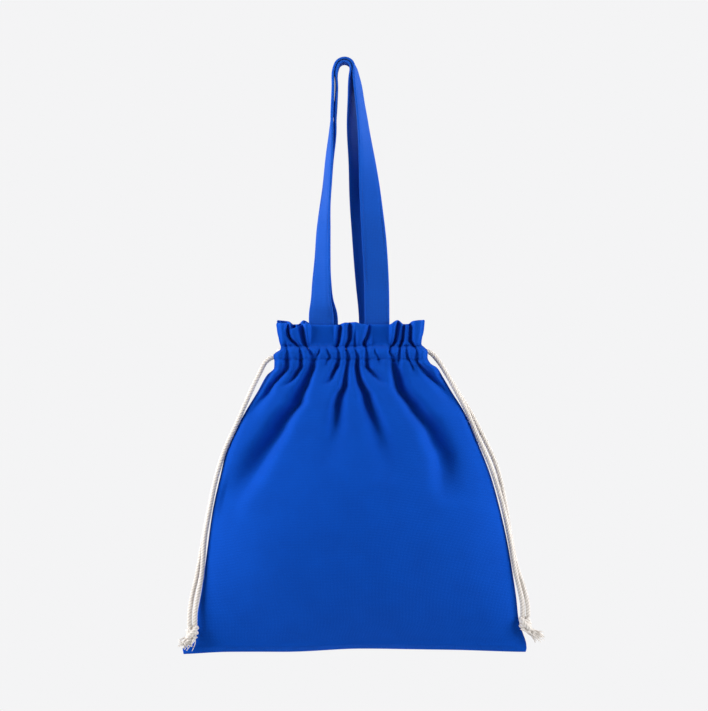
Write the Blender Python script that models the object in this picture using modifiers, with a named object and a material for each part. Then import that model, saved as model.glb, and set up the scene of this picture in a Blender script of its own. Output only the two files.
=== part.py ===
"""A canvas drawstring pouch with two shoulder handles, hung up by its handles.

Frame: metres, +Z up, the front towards -Y. The origin is the point where the
handles bear on the hook that they hang from. Each panel is one cloth that runs
from the bottom seam up the outside, over the top fold and down the inside to
the lower stitch of the casing. Each drawstring goes once round the casing and
leaves it on its own side, where its two ends are tied in one knot.
"""

import math

import bmesh
import bpy
import numpy as np
from mathutils import Vector

MM = 0.001

# Cloth of the bag, in mm
CLOTH = 1.2
SEAM_Y = 1.0
TOP_Z = -275.0
UPPER_STITCH_Z = -296.5
LOWER_STITCH_Z = -310.0
BOTTOM_Z = -618.0
CHANNEL_Y = 10.5
CHANNEL_HALF_DEPTH = 3.7
HEADER_GAP = 1.9
INNER_HALF_WIDTH = 62.0
PLEATS = 6
COLUMNS = 36

# Outline of the bag by height: half width, middle, and half depth, in mm
HALF_WIDTHS = (
    (-618, 180), (-606, 174), (-590, 168), (-560, 163), (-535, 159), (-500, 154), (-469, 148.5),
    (-431, 139.5), (-397, 125), (-364, 110.5), (-338, 96), (-324, 87), (-315, 79.5), (-308, 77.5),
    (-297, 75), (-275, 77.5),
)
MIDDLES = (
    (-618, 8), (-590, 11.5), (-535, 10.5), (-469, 9.8), (-431, 8.4), (-364, 7.4), (-324, 8.5),
    (-310, 5), (-275, 4.3),
)
HALF_DEPTHS = (
    (-618, 1), (-612, 5), (-590, 17), (-560, 30), (-520, 42), (-480, 48), (-440, 47), (-400, 41),
    (-360, 30), (-332, 20), (-313, 14.6), (-299, 14.4), (-296.5, 12.2), (-275, 11.5),
)
EDGE_DEPTHS = (
    (-618, SEAM_Y), (-330, SEAM_Y), (-313, 14.6), (-299, 14.4), (-296.5, 12.2), (-275, 11.5),
)
PLEAT_DEPTHS = ((-618, 0), (-430, 0), (-370, 3), (-335, 5), (-314, 1), (-299, 0.5), (-290, 2), (-275, 5))

# Handles, in mm
STRAP_WIDTH = 26.0
STRAP_THICKNESS = 2.5
STRAP_STEP = 4.0
# x, y, z and the turn of the strap about the vertical in degrees, from the left end to the right end
FRONT_HANDLE = (
    (-27, -7, -293, 0), (-27, -7, -281, 0), (-27, -7, -269, 0), (-27.2, -6.8, -250, -34),
    (-26.8, -6.6, -228, -43), (-25.6, -6.4, -200, -52), (-24.8, -6, -176, -58), (-23.4, -5.5, -151, -66),
    (-20.9, -5, -126, -71), (-18.8, -4.6, -101, -76), (-16.8, -3.6, -75, -83), (-15.4, -2.5, -50, -90),
    (-14.6, -1.2, -25, -90), (-13.7, 0, -6, -90), (-10.4, 0, 1.8, -90), (-2.6, 0, 5.1, -90),
    (5.2, 0, 1.8, -90), (8.1, 0, -3.5, -96), (9.8, -0.8, -13, -103), (14.6, -2.4, -47, -110),
    (17.2, -3.4, -67, -115), (20.5, -4.4, -98, -130), (25.3, -5.4, -148, -153), (28.9, -6.2, -192, -176),
    (31, -6.8, -232, -180), (31.5, -7, -266, -180), (31.5, -7, -293, -180),
)
BACK_HANDLE = (
    (-22.5, 7, -293, 0), (-22.5, 7, -281, 0), (-22.5, 7, -269, 0), (-24.8, 6.8, -250, -34),
    (-26, 6.6, -228, -43), (-25.4, 6.4, -200, -52), (-24.8, 6, -176, -58), (-23.3, 5.5, -151, -66),
    (-20.5, 5, -126, -71), (-17.8, 4.6, -101, -76), (-13.6, 3.6, -75, -83), (-12, 2.5, -50, -90),
    (-10.8, 1.2, -25, -90), (-10.4, 0, -6, -90), (-8.1, 0, -0.5, -90), (-2.6, 0, 1.8, -90),
    (2.9, 0, -0.5, -90), (4.9, 0, -5, -96), (5.3, 0.8, -14, -103), (5.4, 2, -37, -108),
    (6, 3.4, -67, -115), (10.6, 4.6, -107, -134), (16.8, 5.6, -168, -164), (21.9, 6.6, -228, -180),
    (25.4, 7, -266, -180), (25.4, 7, -293, -180),
)

# Drawstrings, in mm
CORD = 5.0
CORD_STEP = 12.4
# From the knot up the front strand, once round the casing and down the back strand
LEFT_CORD = (
    (-158.9, -9.2, -588.6), (-158.7, -9, -576), (-156.6, -7, -560), (-153.4, -5, -544),
    (-148.4, -3.2, -492.5), (-143.6, -3, -466), (-138.2, -3, -439), (-129.5, -3, -409.5),
    (-113.4, -3.6, -372.8), (-102.9, -4.6, -348.6), (-91.5, -7, -325), (-84, -9.6, -311.5),
    (-75, -10.5, -306.6), (-60, -10.5, -306.4), (62, -10.5, -306.4), (69, -10.5, -306.4),
    (74.2, -9.1, -306.4), (78.1, -5.2, -306.4), (79.5, 0, -306.4), (78.1, 5.2, -306.4),
    (74.2, 9.1, -306.4), (69, 10.5, -306.4), (62, 10.5, -306.4), (-60, 10.5, -306.4),
    (-75, 10.5, -306.6), (-84.4, 8.6, -311.5), (-91.9, 4.8, -325), (-103.2, 2.4, -348.6),
    (-113.8, 2.3, -372.8), (-130, 2.3, -409.5), (-138.9, 2.3, -439), (-144.7, 2.3, -466),
    (-149.8, 2.2, -492.5), (-159, -0.6, -544), (-162.6, -4.6, -560), (-164.5, -8.6, -576),
    (-164.7, -9.2, -588.6),
)
RIGHT_CORD = (
    (184, -4, -579.9), (183.8, -4, -567.5), (181, -3.7, -552), (177, -3.3, -535), (171, -3, -500),
    (162.4, -3, -460),
    (151.4, -3, -424), (136.6, -3, -390), (124, -3.3, -361.2), (115.5, -3.8, -345.5),
    (103, -5.4, -323.4), (94, -8, -309.5), (87, -9.8, -302.6), (79, -10.5, -300.7), (66, -10.5, -300.7),
    (-54, -10.5, -300.7), (-61, -10.5, -300.7), (-66.2, -9.1, -300.7), (-70.1, -5.2, -300.7),
    (-71.5, 0, -300.7), (-70.1, 5.2, -300.7), (-66.2, 9.1, -300.7), (-61, 10.5, -300.7),
    (-54, 10.5, -300.7), (66, 10.5, -300.7), (79, 10.5, -300.7), (87, 9.2, -302.6),
    (94, 6.6, -309.5), (103.6, 3.6, -323.4),
    (117, 2.4, -345.5), (127, 2.4, -361.2), (142.4, 2.4, -390), (157.6, 2.4, -424), (166, 2.4, -460),
    (172.4, 2.4, -500), (179, 2, -530), (185.6, -1, -550), (189.5, -3.8, -567.5), (189.8, -4, -579.9),
)

# Points that a route is read at before it is spaced out, and how many on each side are averaged
FINE_POINTS = 4000
SOFTEN = 14

# Knots, in mm: radius and height down the knot's turned outline, from its flat top
KNOT_OUTLINE = ((0, 0), (5.9, 0), (6.7, -3.5), (6.7, -8), (5.4, -12), (2.6, -14.6), (0, -14.6))
KNOT_SEGMENTS = 20
LEFT_KNOT = (-161.8, -9.2, -589.05)
LEFT_TAIL = (-169.0, -12.0, -608.0)
LEFT_TAIL_RADIUS = 8.0
RIGHT_KNOT = (186.9, -4.0, -580.35)
RIGHT_TAIL = (201.0, -4.0, -601.0)
RIGHT_TAIL_RADIUS = 6.0
TAIL_NECK_RADIUS = 3.5
KNOT_MIDDLE = 9.0


def clear_scene():
    for obj in list(bpy.data.objects):
        bpy.data.objects.remove(obj)


def collection_named(name):
    collection = bpy.data.collections.new(name)
    bpy.context.scene.collection.children.link(collection)
    return collection


def material_named(name, colour, roughness):
    material = bpy.data.materials.new(name)
    material.use_nodes = True
    shader = material.node_tree.nodes["Principled BSDF"]
    shader.inputs["Base Color"].default_value = (*colour, 1.0)
    shader.inputs["Roughness"].default_value = roughness
    shader.inputs["Metallic"].default_value = 0.0
    return material


def level_slopes(heights, values):
    """Slopes at the stations that never carry the curve past them: level at each peak and dip."""
    secants = np.diff(values) / np.diff(heights)
    before, after = secants[:-1], secants[1:]
    same_way = before * after > 0
    total = np.where(same_way, before + after, 1.0)
    inner = np.where(same_way, 2 * before * after / total, 0.0)
    return np.concatenate([secants[:1], inner, secants[-1:]])


def between(stations, z, slopes_of=level_slopes):
    """A smooth curve through (height, value) stations, read at the heights z."""
    heights, values = np.array(stations, float).T
    slopes = slopes_of(heights, values)
    steps = np.diff(heights)
    index = np.clip(np.searchsorted(heights, z) - 1, 0, len(steps) - 1)
    t = np.clip((z - heights[index]) / steps[index], 0.0, 1.0)
    start, end = values[index], values[index + 1]
    rise, fall = slopes[index] * steps[index], slopes[index + 1] * steps[index]
    cube = (2 * t**3 - 3 * t**2 + 1) * start + (t**3 - 2 * t**2 + t) * rise
    return cube + (3 * t**2 - 2 * t**3) * end + (t**3 - t**2) * fall


def free_slopes(heights, values):
    return np.gradient(values, heights)


def softened(curve, reach):
    """Each point moved to the mean of its neighbours within reach points, with the ends kept."""
    before = 2 * curve[0] - curve[reach:0:-1]
    after = 2 * curve[-1] - curve[-2 : -reach - 2 : -1]
    longer = np.concatenate([before, curve, after])
    weights = np.full(2 * reach + 1, 1 / (2 * reach + 1))
    return np.stack([np.convolve(column, weights, "valid") for column in longer.T], axis=1)


def smooth_route(route, step):
    """Points about a step apart on one smooth curve through the route's own points."""
    route = np.array(route, float)
    chords = np.linalg.norm(np.diff(route[:, :3], axis=0), axis=1)
    along = np.concatenate([[0.0], np.cumsum(chords)])
    fine = np.linspace(0.0, along[-1], FINE_POINTS)
    columns = [between(list(zip(along, column)), fine, free_slopes) for column in route.T]
    curve = softened(softened(np.stack(columns, axis=1), SOFTEN), SOFTEN)
    lengths = np.linalg.norm(np.diff(curve[:, :3], axis=0), axis=1)
    run = np.concatenate([[0.0], np.cumsum(lengths)])
    count = max(2, round(run[-1] / step) + 1)
    even = np.linspace(0.0, run[-1], count)
    return np.stack([np.interp(even, run, column) for column in curve.T], axis=1)


def mesh_of_grid(name, points):
    """An open surface over a grid of points given in mm."""
    rows, columns = points.shape[:2]
    corner = np.arange((rows - 1) * columns).reshape(rows - 1, columns)[:, :-1].ravel()
    faces = np.stack([corner, corner + 1, corner + columns + 1, corner + columns], axis=1)
    mesh = bpy.data.meshes.new(name)
    mesh.from_pydata((points.reshape(-1, 3) * MM).tolist(), [], faces.tolist())
    mesh.shade_smooth()
    return mesh


def cloth_object(name, points, thickness, material, parts):
    obj = bpy.data.objects.new(name, mesh_of_grid(name, points))
    parts.objects.link(obj)
    obj.data.materials.append(material)
    wall = obj.modifiers.new("Cloth", "SOLIDIFY")
    wall.thickness = thickness * MM
    wall.offset = 0.0
    return obj


def outer_wall(heights, across):
    """The outside of a panel, drawn as the front one: across runs from -1 to 1."""
    z = heights[:, None] + 0.0 * across[None, :]
    side = across[None, :] + 0.0 * z
    edge = between(EDGE_DEPTHS, z)
    crown = (1.0 - np.abs(side) ** 2.2) ** 0.8
    pleat = 0.5 - 0.5 * np.cos((side + 1.0) * math.pi * PLEATS)
    depth = edge + (between(HALF_DEPTHS, z) - edge) * crown
    depth = depth + between(PLEAT_DEPTHS, z) * pleat * crown
    x = between(MIDDLES, z) + between(HALF_WIDTHS, z) * side
    return np.stack([x, -depth, z], axis=2)


def inner_wall(across):
    """The cloth folded down inside: flat behind the header, then round the casing's cords."""
    back = CHANNEL_Y - CHANNEL_HALF_DEPTH
    header_back = 11.5 - HEADER_GAP
    stations = (
        (TOP_Z, header_back, 77.5), (-285.0, header_back, 76.0), (-294.0, header_back, 70.0),
        (-297.5, back, INNER_HALF_WIDTH), (-303.5, back, INNER_HALF_WIDTH),
        (-309.6, back, INNER_HALF_WIDTH), (-313.5, 11.8, INNER_HALF_WIDTH),
    )
    rows = []
    for z, depth, half_width in stations:
        x = between(MIDDLES, np.array([z])) + half_width * across
        rows.append(np.stack([x, np.full_like(x, -depth), np.full_like(x, z)], axis=1))
    return np.stack(rows)


def top_fold(outer_row, inner_row):
    """The half turn from the top of the outer wall to the top of the inner one."""
    middle = (outer_row + inner_row) / 2
    reach = (outer_row - inner_row) / 2
    rows = []
    for angle in (45, 90, 135):
        turn = math.radians(angle)
        lift = np.array([0.0, 0.0, 1.4 * math.sin(turn)])
        rows.append(middle + reach * math.cos(turn) + lift)
    return np.stack(rows)


def panel_points():
    across = np.linspace(-1.0, 1.0, COLUMNS + 1)
    heights = np.array(
        [BOTTOM_Z, -610, -598, -580, -555, -525, -490, -455, -420, -392, -370, -352, -338, -326, -318]
        + [LOWER_STITCH_Z, -304.0, -298.6, UPPER_STITCH_Z, -289, -282, TOP_Z]
    )
    outer = outer_wall(heights, across)
    inner = inner_wall(across)
    return np.concatenate([outer, top_fold(outer[-1], inner[0]), inner])


def make_panels(parts):
    canvas = material_named("front canvas", (0.0, 0.035, 0.36), 0.85)
    back_canvas = material_named("back canvas", (0.0, 0.032, 0.33), 0.85)
    front = panel_points()
    back = front[:, ::-1] * np.array([1.0, -1.0, 1.0])
    cloth_object("front_panel", front, CLOTH, canvas, parts)
    cloth_object("back_panel", back, CLOTH, back_canvas, parts)


def strap_points(route):
    """Rows across a strap: its width is turned about the vertical and kept square to its run."""
    path = smooth_route(route, STRAP_STEP)
    tangent = np.gradient(path[:, :3], axis=0)
    tangent /= np.linalg.norm(tangent, axis=1, keepdims=True)
    turn = np.radians(path[:, 3])
    width = np.stack([np.cos(turn), np.sin(turn), 0.0 * turn], axis=1)
    width -= (width * tangent).sum(axis=1, keepdims=True) * tangent
    width /= np.linalg.norm(width, axis=1, keepdims=True)
    across = np.array([-0.5, 0.5])[None, :, None] * STRAP_WIDTH
    return path[:, None, :3] + across * width[:, None, :]


def make_handles(parts):
    strap = material_named("front strap canvas", (0.0, 0.05, 0.37), 0.8)
    back_strap = material_named("back strap canvas", (0.0, 0.045, 0.34), 0.8)
    cloth_object("front_handle", strap_points(FRONT_HANDLE), STRAP_THICKNESS, strap, parts)
    cloth_object("back_handle", strap_points(BACK_HANDLE), STRAP_THICKNESS, back_strap, parts)


def cord_object(name, route, material, parts):
    points = smooth_route(route, CORD_STEP) * MM
    curve = bpy.data.curves.new(name, "CURVE")
    curve.dimensions = "3D"
    curve.bevel_depth = CORD / 2 * MM
    curve.bevel_resolution = 2
    curve.use_fill_caps = True
    spline = curve.splines.new("POLY")
    spline.points.add(len(points) - 1)
    for point, place in zip(spline.points, points):
        point.co = (*place, 1.0)
    obj = bpy.data.objects.new(name, curve)
    parts.objects.link(obj)
    curve.materials.append(material)
    return obj


def make_drawstrings(parts):
    cotton = material_named("left cotton cord", (0.74, 0.7, 0.66), 0.9)
    right_cotton = material_named("right cotton cord", (0.74, 0.7, 0.66), 0.9)
    cord_object("drawstring_left", LEFT_CORD, cotton, parts)
    cord_object("drawstring_right", RIGHT_CORD, right_cotton, parts)


def tail_cone(name, start, end, radius, cutters):
    """The spread of loose yarn below a knot, as a cone that opens towards its end."""
    start, end = Vector(start) * MM, Vector(end) * MM
    mesh = bpy.data.meshes.new(name)
    shape = bmesh.new()
    bmesh.ops.create_cone(
        shape,
        cap_ends=True,
        segments=KNOT_SEGMENTS,
        radius1=TAIL_NECK_RADIUS * MM,
        radius2=radius * MM,
        depth=(end - start).length,
    )
    shape.to_mesh(mesh)
    shape.free()
    obj = bpy.data.objects.new(name, mesh)
    cutters.objects.link(obj)
    obj.location = (start + end) / 2
    obj.rotation_euler = (end - start).to_track_quat("Z", "Y").to_euler()
    obj.hide_render = True
    obj.display_type = "WIRE"
    return obj


def make_knot(name, top, tail_end, tail_radius, material, parts, cutters):
    """A turned body below the two cord ends, with its tail joined on."""
    mesh = bpy.data.meshes.new(name)
    outline = [(radius * MM, 0.0, height * MM) for radius, height in KNOT_OUTLINE]
    mesh.from_pydata(outline, [(i, i + 1) for i in range(len(outline) - 1)], [])
    obj = bpy.data.objects.new(name, mesh)
    parts.objects.link(obj)
    mesh.materials.append(material)
    obj.location = Vector(top) * MM
    turned = obj.modifiers.new("Turned", "SCREW")
    turned.steps = turned.render_steps = KNOT_SEGMENTS
    turned.use_merge_vertices = True
    turned.merge_threshold = 0.00001
    middle = Vector(top) - Vector((0.0, 0.0, KNOT_MIDDLE))
    tail = tail_cone(name + "_tail", middle, tail_end, tail_radius, cutters)
    joined = obj.modifiers.new("Tail", "BOOLEAN")
    joined.operation = "UNION"
    joined.object = tail
    return obj


def make_knots(parts, cutters):
    left = material_named("left knot cotton", (0.78, 0.74, 0.7), 0.9)
    right = material_named("right knot cotton", (0.78, 0.74, 0.7), 0.9)
    make_knot("knot_left", LEFT_KNOT, LEFT_TAIL, LEFT_TAIL_RADIUS, left, parts, cutters)
    make_knot("knot_right", RIGHT_KNOT, RIGHT_TAIL, RIGHT_TAIL_RADIUS, right, parts, cutters)


def main():
    clear_scene()
    parts = collection_named("drawstring pouch")
    cutters = collection_named("joined shapes")
    make_panels(parts)
    make_handles(parts)
    make_drawstrings(parts)
    make_knots(parts, cutters)


main()
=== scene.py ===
"""A canvas drawstring pouch, hung up by its two shoulder handles, in a plain studio.

Frame: metres, +Z up, the front towards -Y, the origin where the handles bear on
their hook. Lengths in the tables below are in mm. Every piece is a surface worked
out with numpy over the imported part, and stands for the CAD node that it replaces.
"""

import math

import bpy
import numpy as np
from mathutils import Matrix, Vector


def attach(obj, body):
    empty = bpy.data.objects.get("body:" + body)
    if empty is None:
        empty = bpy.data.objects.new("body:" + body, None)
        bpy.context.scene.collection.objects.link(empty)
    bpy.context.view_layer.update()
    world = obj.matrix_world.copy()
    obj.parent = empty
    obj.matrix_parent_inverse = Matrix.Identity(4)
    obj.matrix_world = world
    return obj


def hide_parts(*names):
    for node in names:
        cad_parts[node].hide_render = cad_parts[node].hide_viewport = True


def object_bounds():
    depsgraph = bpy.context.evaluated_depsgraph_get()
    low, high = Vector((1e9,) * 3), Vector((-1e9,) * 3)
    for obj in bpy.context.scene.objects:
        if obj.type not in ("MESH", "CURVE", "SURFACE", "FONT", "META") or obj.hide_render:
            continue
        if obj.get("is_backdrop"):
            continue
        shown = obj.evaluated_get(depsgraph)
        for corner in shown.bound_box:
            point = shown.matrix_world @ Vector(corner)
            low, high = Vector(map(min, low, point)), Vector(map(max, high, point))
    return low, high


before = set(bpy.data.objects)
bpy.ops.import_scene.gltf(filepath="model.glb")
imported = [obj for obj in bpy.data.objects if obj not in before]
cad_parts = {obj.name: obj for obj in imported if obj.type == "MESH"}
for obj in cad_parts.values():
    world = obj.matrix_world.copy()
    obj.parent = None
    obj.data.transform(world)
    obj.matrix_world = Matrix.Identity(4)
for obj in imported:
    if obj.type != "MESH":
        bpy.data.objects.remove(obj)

bl_info = {
    "name": "Drawstring pouch",
    "version": (1, 0, 0),
    "blender": (4, 5, 0),
    "location": "3D Viewport > Sidebar > Pouch",
    "description": "Builds a canvas drawstring pouch with its cords, handles and studio",
    "category": "Add Mesh",
}

MM = 0.001

# Bag, in mm by height: side edges, half depth, and depth at the side edges
TOP_Z = -275.0
UPPER_STITCH_Z = -296.5
LOWER_STITCH_Z = -310.0
BOTTOM_Z = -618.0
SEAM_Y = 0.6
LEFT_EDGE = (
    (-618, -171.5), (-612, -172.5), (-609, -163), (-604, -159), (-584, -157.5), (-546, -151.2),
    (-508, -146), (-470, -140.7), (-432, -132.3), (-410, -127), (-382, -115), (-365, -106),
    (-344, -93.2), (-327, -83.7), (-319, -76), (-313, -75.6), (-306, -76.6), (-299, -69), (-290, -71),
    (-274, -73.3),
)
RIGHT_EDGE = (
    (-618, 187.5), (-614, 188.5), (-609, 188), (-599, 184.8), (-590, 181.4), (-581, 179.5),
    (-562, 177.5), (-540, 174.3), (-508, 169), (-470, 160.7), (-432, 150.2), (-392, 134.4),
    (-367, 123.4), (-344, 109.2), (-328, 99.8), (-319, 94.3), (-314, 86.7), (-308, 84), (-302, 84),
    (-294, 77.7), (-282, 79.8), (-270, 81),
)
HALF_DEPTHS = (
    (-618, SEAM_Y), (-612, 5), (-590, 17), (-560, 30), (-520, 42), (-480, 48), (-440, 47),
    (-400, 41), (-360, 30), (-332, 20), (-313, 14.6), (-299, 14.4), (-296.5, 12.2), (-275, 11.5),
)
EDGE_DEPTHS = (
    (-618, SEAM_Y), (-330, SEAM_Y), (-313, 14.6), (-299, 14.4), (-296.5, 12.2), (-275, 11.5),
)
# Cloth folded down inside: depth and half width by height
INNER_DEPTHS = (
    (-313.5, 12.4), (-309.6, 6.8), (-303.5, 6.8), (-297.5, 6.8), (-294, 9.6), (-275, 9.6),
)
INNER_HALF_WIDTHS = ((-313.5, 62), (-297.5, 62), (-294, 70), (-285, 76), (-275, 77.5))
HEADER_GAP = 1.9
FLAT_HALF_WIDTH = 180.0

# How far the gathered cloth puffs out between its creases, by height
LIFTS = (
    (-618, 0), (-440, 0), (-380, 2.5), (-330, 5), (-310, 4.2), (-303, 5), (-297, 2.2), (-286, 4.5),
    (-272, 6),
)
# Each crease: how much further it reaches to its left than to its right, then
# height, place across, depth and reach, from its foot to its head
CREASES = (
    (1.2, (
        (-376, -104, 0, 9), (-365, -98, 4, 8), (-355, -90, 6, 6), (-346, -82, 8, 5),
        (-338, -78, 9, 4), (-330, -71, 9, 3.4), (-317, -62, 9, 3), (-302, -62, 5, 2.4),
        (-290, -64, 0, 2),
    )),
    (1.0, (
        (-340, -66, 0, 5), (-330, -55.6, 7, 4), (-323, -51.5, 9, 3.4), (-317, -48, 9, 3),
        (-307, -48, 6, 2.4), (-298, -50, 5, 2.4), (-294, -53.5, 7, 3), (-286, -60, 9, 3),
        (-277, -62, 10, 2.6), (-268, -62, 10, 2.6),
    )),
    (1.5, (
        (-480, -122, 0, 18), (-460, -116.5, 5, 16), (-439, -102, 12, 15), (-422, -91, 16, 14),
        (-409, -84, 18, 13), (-397, -76.6, 19, 12), (-386, -69, 19, 11), (-376, -64, 19, 10),
        (-365, -56.7, 18, 9), (-355, -48.3, 17, 8), (-346, -46, 16, 7), (-338, -42, 15, 6),
        (-330, -39, 13, 5), (-317, -34.6, 11, 3.8), (-309, -34, 7, 3), (-302, -37, 5, 2.4),
        (-298, -41, 6, 2.6), (-290, -44, 10, 3), (-268, -47, 11, 3),
    )),
    (1.0, (
        (-314, -32, 0, 2), (-307, -31.5, 4, 2), (-302, -29, 4, 2), (-296, -28, 0, 2),
    )),
    (1.0, (
        (-319, -23, 0, 3), (-311, -20, 4, 2.4), (-307, -18, 5, 2.4), (-302, -20, 4, 2),
        (-297, -21, 0, 2),
    )),
    (1.0, (
        (-338, -22, 0, 5), (-330, -16.8, 6, 4), (-323, -13.7, 9, 3.2), (-317, -10.5, 10, 3),
        (-309, -8.7, 6, 2.4), (-302, -9, 5, 2.2), (-298, -10.5, 6, 2.4), (-290, -8.4, 10, 2.8),
        (-268, -6, 11, 2.8),
    )),
    (0.9, (
        (-424, -19, 0, 12), (-397, -14.7, 4, 11), (-386, -12.6, 6, 9), (-376, -11.6, 9, 8),
        (-365, -10.5, 11, 7), (-355, -9.5, 13, 6), (-346, -7, 13, 5), (-338, -3, 12, 4),
        (-323, -1, 8, 3), (-307, 1, 6, 2.4), (-298, -1, 6, 2.4), (-288, 2.5, 10, 3),
        (-268, 3, 10, 3),
    )),
    (1.0, (
        (-440, 41, 0, 18), (-422, 39.5, 3, 15), (-409, 38, 5, 13), (-397, 36.5, 8, 12),
        (-386, 33.6, 10, 11), (-376, 30.5, 12, 9), (-365, 26, 14, 8), (-355, 22, 15, 7),
        (-346, 20, 15, 6), (-338, 15.8, 14, 5), (-330, 12.6, 13, 4), (-317, 10.5, 11, 3),
        (-307, 11, 6, 2.4), (-298, 8, 4, 2.2), (-290, 8.4, 4, 2), (-278, 9, 0, 2),
    )),
    (1.0, (
        (-338, 40, 0, 7), (-330, 32.6, 5, 6), (-323, 26, 8, 4.4), (-317, 21, 8, 3.4),
        (-309, 21, 6, 2.6), (-298, 20, 5, 2.4), (-294, 18, 9, 3), (-286, 21, 10, 3),
        (-268, 25, 9, 3),
    )),
    (1.0, (
        (-318, 33, 0, 3), (-309, 32.5, 3.5, 2.4), (-302, 29.4, 3.5, 2.2), (-297, 29, 0, 2),
    )),
    (0.75, (
        (-462, 106, 0, 18), (-439, 99.8, 8, 14), (-422, 97.7, 14, 13), (-409, 95.6, 17, 12),
        (-397, 90.3, 19, 12), (-386, 86, 19, 11), (-376, 79.8, 19, 11), (-365, 70.4, 18, 10),
        (-355, 64, 18, 9), (-346, 56.7, 17, 8), (-338, 52.5, 16, 7), (-330, 51, 15, 6),
        (-317, 48.3, 11, 4), (-307, 47, 6, 2.6), (-302, 44, 5, 2.4), (-298, 45, 6, 2.4),
        (-292, 49.4, 10, 2.8), (-277, 52.5, 10, 2.6), (-268, 54, 9, 2.6),
    )),
    (1.0, (
        (-324, 52, 0, 3), (-314, 53.6, 5, 2.6), (-302, 54.6, 5, 2.2), (-297, 55.5, 6, 2.2),
        (-290, 58, 10, 2.6), (-268, 60, 9, 2.6),
    )),
    (1.0, (
        (-325, 70, 0, 3), (-317, 68, 4, 2.6), (-307, 63, 4.5, 2.2), (-300, 62, 3, 2),
        (-294, 62, 0, 2),
    )),
    (1.0, (
        (-370, 121, 0, 10), (-355, 110, 4, 9), (-346, 103, 6, 8), (-338, 96, 7, 6),
        (-330, 88, 8, 5), (-323, 82, 8, 4), (-317, 76.7, 8, 3), (-311, 72.5, 6, 2.4),
        (-302, 73, 5, 2.4), (-297, 70.5, 6, 2.4), (-290, 66, 9, 2.6), (-268, 67, 8, 2.6),
    )),
)
CREASE_JOIN = 3.0
# Where the header lies flat on the ends of the straps, from and to, and its depth there
FLAT_ZONES = ((-39.5, -11.5), (24.5, 46.0))
FLAT_DEPTH = 11.0
# Height of the top edge above its mean, and of the bottom edge, by place across
TOP_EDGE = (
    (-75, 1), (-62, 1.2), (-58, -5), (-52, -3), (-43, 0.8), (-38, -0.6), (-10, -1), (-3, 1.2), (9, 2),
    (15, 0), (25, -0.4), (44, -0.4), (53, 4.2), (59, 0), (64, 0), (69, 3.2), (82, 4.6),
)
BOTTOM_EDGE = ((-172, -1.6), (-124, 1), (-67, 1.2), (14, 4.4), (105, 3.2), (186, 0.8))

# Handles, in mm: x, y, z and the turn of the strap about the vertical in degrees
STRAP_WIDTH = 26.0
STRAP_THICKNESS = 3.2
# Where its top stitching runs, from 0 at the middle to 1 at the edge
STITCH_AT = 0.78
FRONT_HANDLE = (
    (-27, -7, -293, 0), (-27, -7, -281, 0), (-27, -7, -269, 0), (-27.2, -6.8, -250, -34),
    (-26.8, -6.6, -228, -43), (-25.6, -6.4, -200, -52), (-24.8, -6, -176, -58), (-23.4, -5.5, -151, -66),
    (-20.9, -5, -126, -71), (-18.8, -4.6, -101, -76), (-16.8, -3.6, -75, -83), (-15.4, -2.5, -50, -90),
    (-14.6, -1.2, -25, -90), (-13.7, 0, -6, -90), (-10.4, 0, 1.8, -90), (-2.6, 0, 5.1, -90),
    (5.2, 0, 1.8, -90), (8.1, 0, -3.5, -96), (9.8, -0.8, -13, -103), (14.6, -2.4, -47, -110),
    (17.2, -3.4, -67, -115), (20.5, -4.4, -98, -130), (25.3, -5.4, -148, -153), (28.9, -6.2, -192, -176),
    (31, -6.8, -232, -180), (31.5, -7, -266, -180), (31.5, -7, -293, -180),
)
BACK_HANDLE = (
    (-22.5, 7, -293, 0), (-22.5, 7, -281, 0), (-22.5, 7, -269, 0), (-24.8, 6.8, -250, -34),
    (-26, 6.6, -228, -43), (-25.4, 6.4, -200, -52), (-24.8, 6, -176, -58), (-23.3, 5.5, -151, -66),
    (-20.5, 5, -126, -71), (-17.8, 4.6, -101, -76), (-13.6, 3.6, -75, -83), (-12, 2.5, -50, -90),
    (-10.8, 1.2, -25, -90), (-10.4, 0, -6, -90), (-8.1, 0, -0.5, -90), (-2.6, 0, 1.8, -90),
    (2.9, 0, -0.5, -90), (4.9, 0, -5, -96), (5.3, 0.8, -14, -103), (5.4, 2, -37, -108),
    (6, 3.4, -67, -115), (10.6, 4.6, -107, -134), (16.8, 5.6, -168, -164), (21.9, 6.6, -228, -180),
    (25.4, 7, -266, -180), (25.4, 7, -293, -180),
)

# Drawstrings, in mm, from the knot up the front strand, once round the casing and down the back strand
LEFT_CORD = (
    (-158.9, -9.2, -588.6), (-158.7, -9, -576), (-156.6, -7, -560), (-153.4, -5, -544),
    (-148.4, -3.2, -492.5), (-143.6, -3, -466), (-138.2, -3, -439), (-129.5, -3, -409.5),
    (-113.4, -3.6, -372.8), (-102.9, -4.6, -348.6), (-91.5, -7, -325), (-84, -9.6, -311.5),
    (-75, -10.5, -306.6), (-60, -10.5, -306.4), (62, -10.5, -306.4), (69, -10.5, -306.4),
    (74.2, -9.1, -306.4), (78.1, -5.2, -306.4), (79.5, 0, -306.4), (78.1, 5.2, -306.4),
    (74.2, 9.1, -306.4), (69, 10.5, -306.4), (62, 10.5, -306.4), (-60, 10.5, -306.4),
    (-75, 10.5, -306.6), (-84.4, 8.6, -311.5), (-91.9, 4.8, -325), (-103.2, 2.4, -348.6),
    (-113.8, 2.3, -372.8), (-130, 2.3, -409.5), (-138.9, 2.3, -439), (-144.7, 2.3, -466),
    (-149.8, 2.2, -492.5), (-159, -0.6, -544), (-162.6, -4.6, -560), (-164.5, -8.6, -576),
    (-164.7, -9.2, -588.6),
)
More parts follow.
